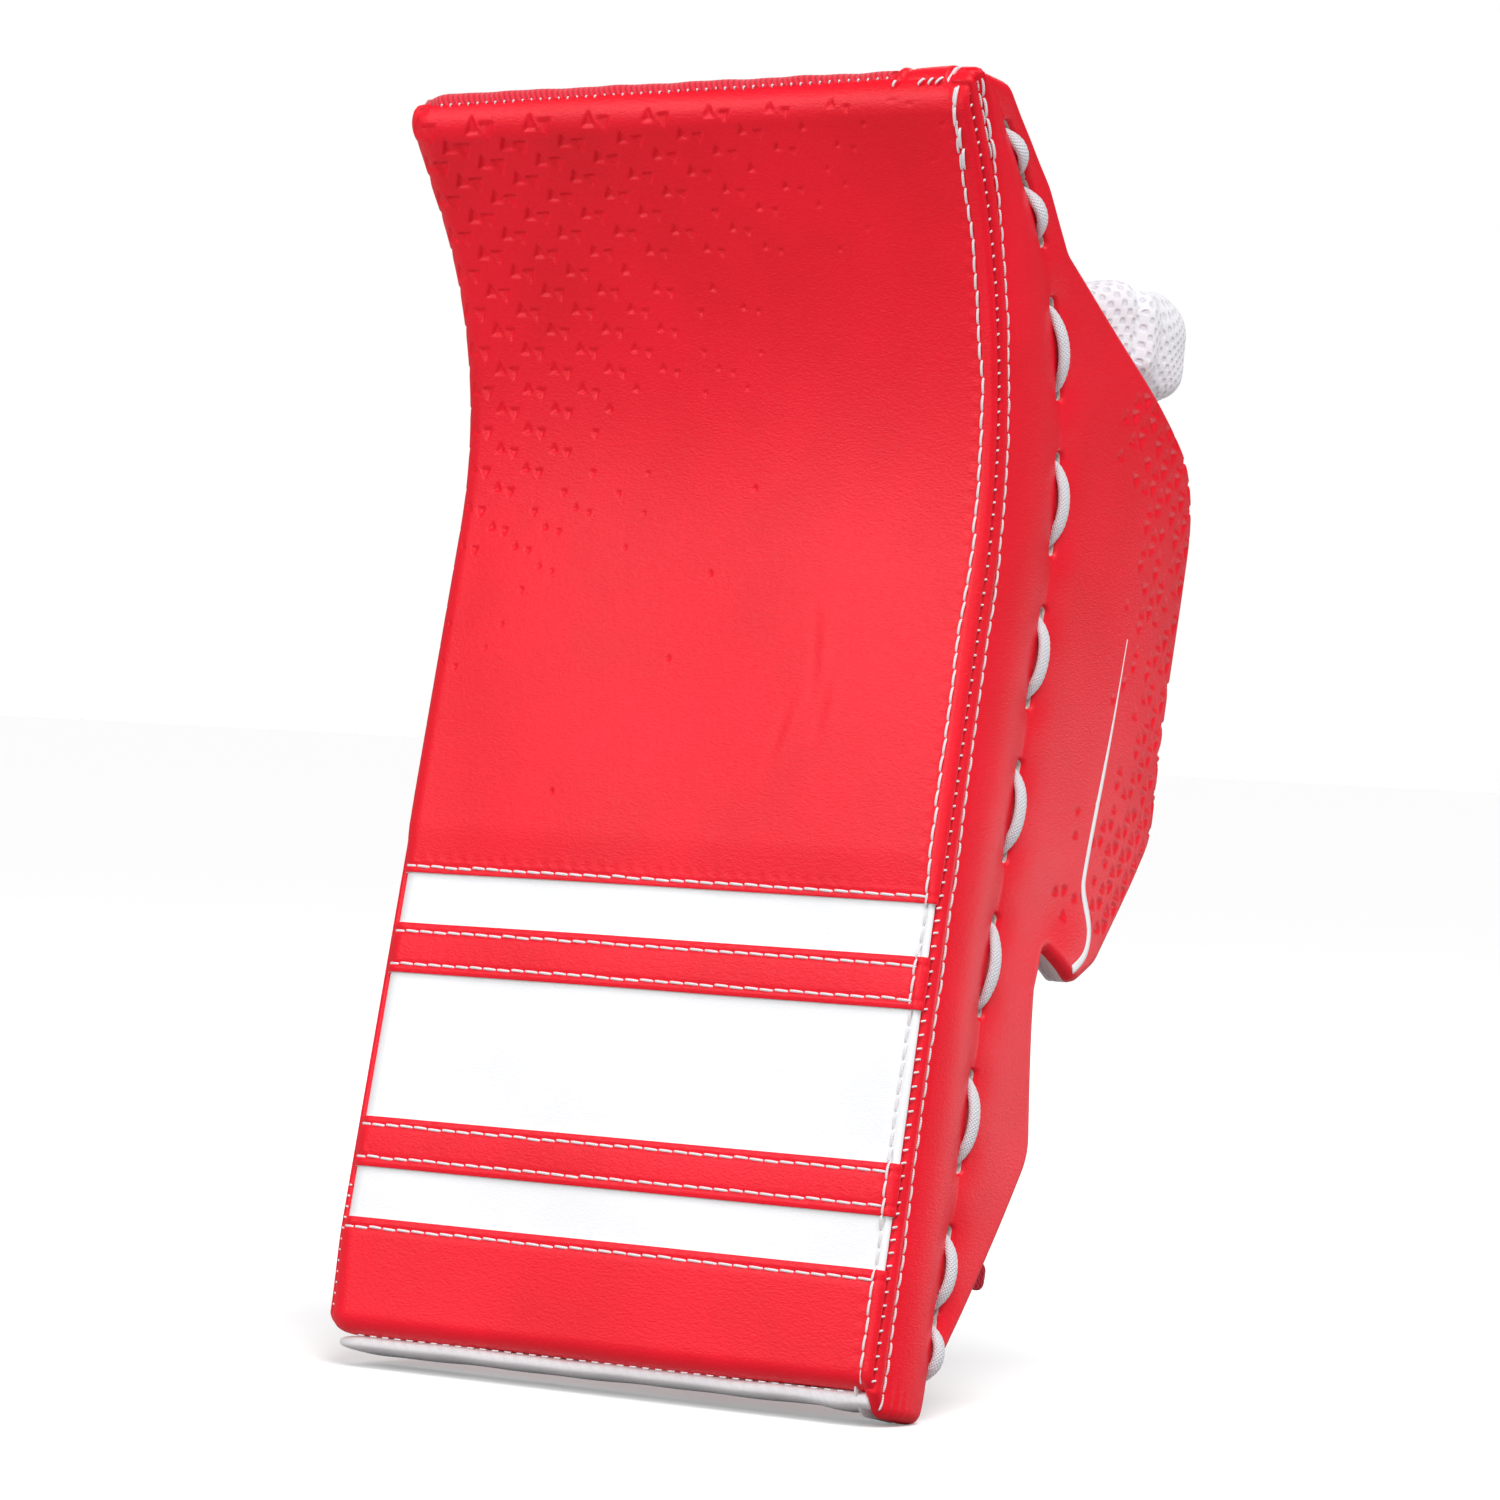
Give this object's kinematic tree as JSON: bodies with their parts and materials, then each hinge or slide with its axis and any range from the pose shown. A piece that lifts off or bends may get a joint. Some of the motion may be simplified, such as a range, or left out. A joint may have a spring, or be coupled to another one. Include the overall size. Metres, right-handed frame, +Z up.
{
  "type": "goalie blocker",
  "caption": "Right-hand ice-hockey goalie blocker: a padded board that curls forward at the top, a laced side panel with a flap, and a padded glove behind.",
  "frame": {"origin": "centre of the cuff's top, where the hand goes in", "axes": "+X across the board towards the thumb side, +Y from the face towards the hand, +Z up; the board leans back from +Z by 11.7 degrees"},
  "size_m": [0.2078, 0.1905, 0.3903],
  "materials": {
    "red_leather": "fine-grained synthetic leather, satin",
    "white_leather": "smooth white synthetic leather",
    "core_foam": "closed-cell foam",
    "pad_foam": "soft foam",
    "stiffener_plastic": "polyethylene sheet",
    "red_nylon": "woven nylon",
    "red_twill": "twill tape",
    "white_lining": "smooth lining",
    "webbing_black": "woven webbing",
    "lace_cord": "tubular braid",
    "red_webbing": "narrow webbing",
    "loop_black": "hook and loop",
    "glove_fabric": "padded knit",
    "palm_suede": "synthetic suede",
    "grip_patch": "moulded grip",
    "white_mesh": "spacer mesh",
    "glove_leather": "soft synthetic leather"
  },
  "bodies": {
    "glove_and_board": {"face_bottom_panel": "red_leather", "red_band_lower": "red_leather", "red_band_upper": "red_leather", "face_top_panel": "red_leather", "white_base_panel": "white_leather", "board_foam_core": "core_foam", "board_stiffener": "stiffener_plastic", "board_back_padding": "pad_foam", "board_back_skin": "red_nylon", "little_finger_side_wall": "red_leather", "top_end_strip": "red_twill", "top_corner_tab": "red_leather", "bottom_end_cap": "white_leather", "side_panel_skin": "red_leather", "side_panel_foam": "pad_foam", "side_panel_lining": "white_lining", "lacing_strip": "webbing_black", "side_lace": "lace_cord", "lace_knots": "lace_cord", "pull_tab_seam": "red_webbing", "attachment_panel": "loop_black", "hand_back_pad": "glove_fabric", "finger_guard_pad": "red_nylon", "little_finger_gusset": "glove_fabric", "thumb_gusset": "glove_fabric", "palm_panel": "palm_suede", "palm_grip_patch": "grip_patch", "cuff_roll": "white_mesh", "cuff_thumb_lobe": "white_mesh", "thumb_root": "glove_leather", "strap_loop_patch": "loop_black", "strap_anchor": "webbing_black"},
    "wrist_strap": {"strap_webbing": "webbing_black", "strap_hook_patch": "loop_black", "strap_pull_end": "grip_patch"},
    "pull_tab": {"pull_tab": "red_webbing"},
    "index_finger_base": {"index_finger_base": "glove_leather", "index_finger_pad": "red_nylon"},
    "index_finger_tip": {"index_finger_tip": "glove_leather"},
    "middle_finger_base": {"middle_finger_base": "glove_leather", "middle_finger_pad": "red_nylon"},
    "middle_finger_tip": {"middle_finger_tip": "glove_leather"},
    "ring_finger_base": {"ring_finger_base": "glove_leather", "ring_finger_pad": "red_nylon"},
    "ring_finger_tip": {"ring_finger_tip": "glove_leather"},
    "little_finger_base": {"little_finger_base": "glove_leather", "little_finger_pad": "red_nylon"},
    "little_finger_tip": {"little_finger_tip": "glove_leather"},
    "thumb_base": {"thumb_base": "glove_leather"},
    "thumb_tip": {"thumb_tip": "glove_leather"}
  },
  "joints": [
    {"name": "index_finger_curl", "type": "hinge", "parent": "glove_and_board", "child": "index_finger_base", "pos_m": [0.022, -0.0105, -0.14437], "axis": [1, 0, 0], "range_deg": [-5, 60]},
    {"name": "index_finger_tip_curl", "type": "hinge", "parent": "index_finger_base", "child": "index_finger_tip", "pos_m": [0.022, -0.01982, -0.18941], "axis": [1, 0, 0], "range_deg": [-4, 46]},
    {"name": "middle_finger_curl", "type": "hinge", "parent": "glove_and_board", "child": "middle_finger_base", "pos_m": [-0.003, -0.0105, -0.14437], "axis": [1, 0, 0], "range_deg": [-5, 60]},
    {"name": "middle_finger_tip_curl", "type": "hinge", "parent": "middle_finger_base", "child": "middle_finger_tip", "pos_m": [-0.003, -0.02038, -0.19211], "axis": [1, 0, 0], "range_deg": [-4, 46]},
    {"name": "ring_finger_curl", "type": "hinge", "parent": "glove_and_board", "child": "ring_finger_base", "pos_m": [-0.028, -0.0105, -0.14437], "axis": [1, 0, 0], "range_deg": [-5, 60]},
    {"name": "ring_finger_tip_curl", "type": "hinge", "parent": "ring_finger_base", "child": "ring_finger_tip", "pos_m": [-0.028, -0.01991, -0.18986], "axis": [1, 0, 0], "range_deg": [-4, 46]},
    {"name": "little_finger_curl", "type": "hinge", "parent": "glove_and_board", "child": "little_finger_base", "pos_m": [-0.053, -0.0105, -0.14437], "axis": [1, 0, 0], "range_deg": [-5, 60]},
    {"name": "little_finger_tip_curl", "type": "hinge", "parent": "little_finger_base", "child": "little_finger_tip", "pos_m": [-0.053, -0.01852, -0.1831], "axis": [1, 0, 0], "range_deg": [-4, 46]},
    {"name": "thumb_flex", "type": "hinge", "parent": "glove_and_board", "child": "thumb_base", "pos_m": [0.0545, -0.00568, -0.10631], "axis": [1, 0, 0], "range_deg": [0, 45]},
    {"name": "thumb_tip_flex", "type": "hinge", "parent": "thumb_base", "child": "thumb_tip", "pos_m": [0.0545, -0.01308, -0.14205], "axis": [1, 0, 0], "range_deg": [0, 32]},
    {"name": "wrist_strap_open", "type": "hinge", "parent": "glove_and_board", "child": "wrist_strap", "pos_m": [-0.0745, 0.01132, -0.05085], "axis": [0, 0.2028, 0.9792], "range_deg": [0, 110]},
    {"name": "pull_tab_swing", "type": "hinge", "parent": "glove_and_board", "child": "pull_tab", "pos_m": [0.0741, -0.0953, -0.29352], "axis": [0, 0.2028, 0.9792], "range_deg": [0, 70]}
  ],
  "couplings": [
    {"joint": "index_finger_tip_curl", "follows": "index_finger_curl", "ratio": 0.75},
    {"joint": "middle_finger_tip_curl", "follows": "middle_finger_curl", "ratio": 0.75},
    {"joint": "ring_finger_tip_curl", "follows": "ring_finger_curl", "ratio": 0.75},
    {"joint": "little_finger_tip_curl", "follows": "little_finger_curl", "ratio": 0.75},
    {"joint": "thumb_tip_flex", "follows": "thumb_flex", "ratio": 0.7}
  ]
}
